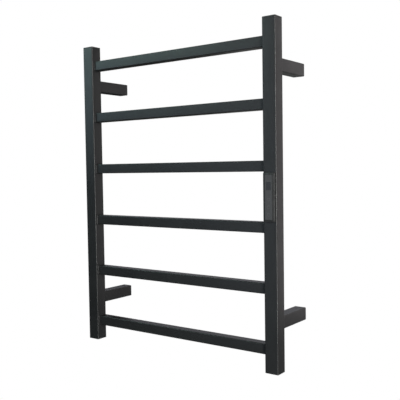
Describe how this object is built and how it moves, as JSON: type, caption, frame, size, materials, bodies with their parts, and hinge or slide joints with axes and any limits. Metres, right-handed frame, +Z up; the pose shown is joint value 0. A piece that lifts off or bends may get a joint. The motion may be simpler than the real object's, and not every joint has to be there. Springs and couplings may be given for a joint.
{
  "type": "towel warmer rack",
  "caption": "Wall-hung electric ladder towel warmer in matte black square steel tube, with standoffs, a serpentine heating cable and a touch control on one upright.",
  "frame": {"origin": "the middle of the rack's width and height, on the wall plane that the four standoffs reach", "axes": "+X to the right seen from the front, +Y into the wall, +Z up; the front faces -Y"},
  "size_m": [0.6, 0.1465, 0.8],
  "materials": {
    "black_powder_coat": "matte black powder coat",
    "black_plastic": "moulded black plastic",
    "black_glass": "glossy black touch glass",
    "zinc_steel": "zinc plated steel",
    "brass": "bright brass",
    "red_silicone": "red silicone rubber",
    "white_silicone": "white silicone rubber",
    "brown_insulation": "brown wire insulation",
    "blue_insulation": "blue wire insulation",
    "green_insulation": "green and yellow wire insulation, stored as plain green",
    "rubber": "black rubber",
    "circuit_board": "glass fibre circuit board",
    "relay_case": "blue relay case",
    "white_nylon": "natural nylon"
  },
  "bodies": {
    "root": {"left_upright": "black_powder_coat", "right_upright": "black_powder_coat", "rung_1": "black_powder_coat", "rung_2": "black_powder_coat", "rung_3": "black_powder_coat", "rung_4": "black_powder_coat", "rung_5": "black_powder_coat", "rung_6": "black_powder_coat", "upper_left_standoff": "black_powder_coat", "upper_right_standoff": "black_powder_coat", "lower_left_standoff": "black_powder_coat", "lower_right_standoff": "black_powder_coat", "left_top_cap": "black_plastic", "left_bottom_cap": "black_plastic", "right_top_cap": "black_plastic", "right_bottom_cap": "black_plastic", "control_housing": "black_plastic", "display_module": "black_plastic", "power_module": "black_plastic", "touch_glass": "black_glass", "upper_left_bolt": "zinc_steel", "upper_right_bolt": "zinc_steel", "lower_left_bolt": "zinc_steel", "lower_right_hollow_bolt": "zinc_steel", "upper_left_frame_nut": "zinc_steel", "upper_right_frame_nut": "zinc_steel", "lower_left_frame_nut": "zinc_steel", "lower_right_frame_nut": "zinc_steel", "upper_left_wall_boss": "zinc_steel", "upper_right_wall_boss": "zinc_steel", "lower_left_wall_boss": "zinc_steel", "lower_right_wall_boss": "zinc_steel", "upper_left_grub_screw": "zinc_steel", "upper_right_grub_screw": "zinc_steel", "lower_left_grub_screw": "zinc_steel", "lower_right_grub_screw": "zinc_steel", "earth_screw": "zinc_steel", "earth_nut": "zinc_steel", "temperature_sensor": "zinc_steel", "earth_lug": "brass", "touch_spring_1": "brass", "touch_spring_2": "brass", "touch_spring_3": "brass", "heating_cable": "red_silicone", "thermal_cutout": "white_silicone", "live_wire": "brown_insulation", "cutout_wire": "brown_insulation", "neutral_wire": "blue_insulation", "earth_wire": "green_insulation", "cable_grommet": "rubber", "control_board": "circuit_board", "relay": "relay_case", "upper_terminal_block": "white_nylon", "lower_terminal_block": "white_nylon", "supply_connector": "white_nylon"}
  },
  "joints": []
}
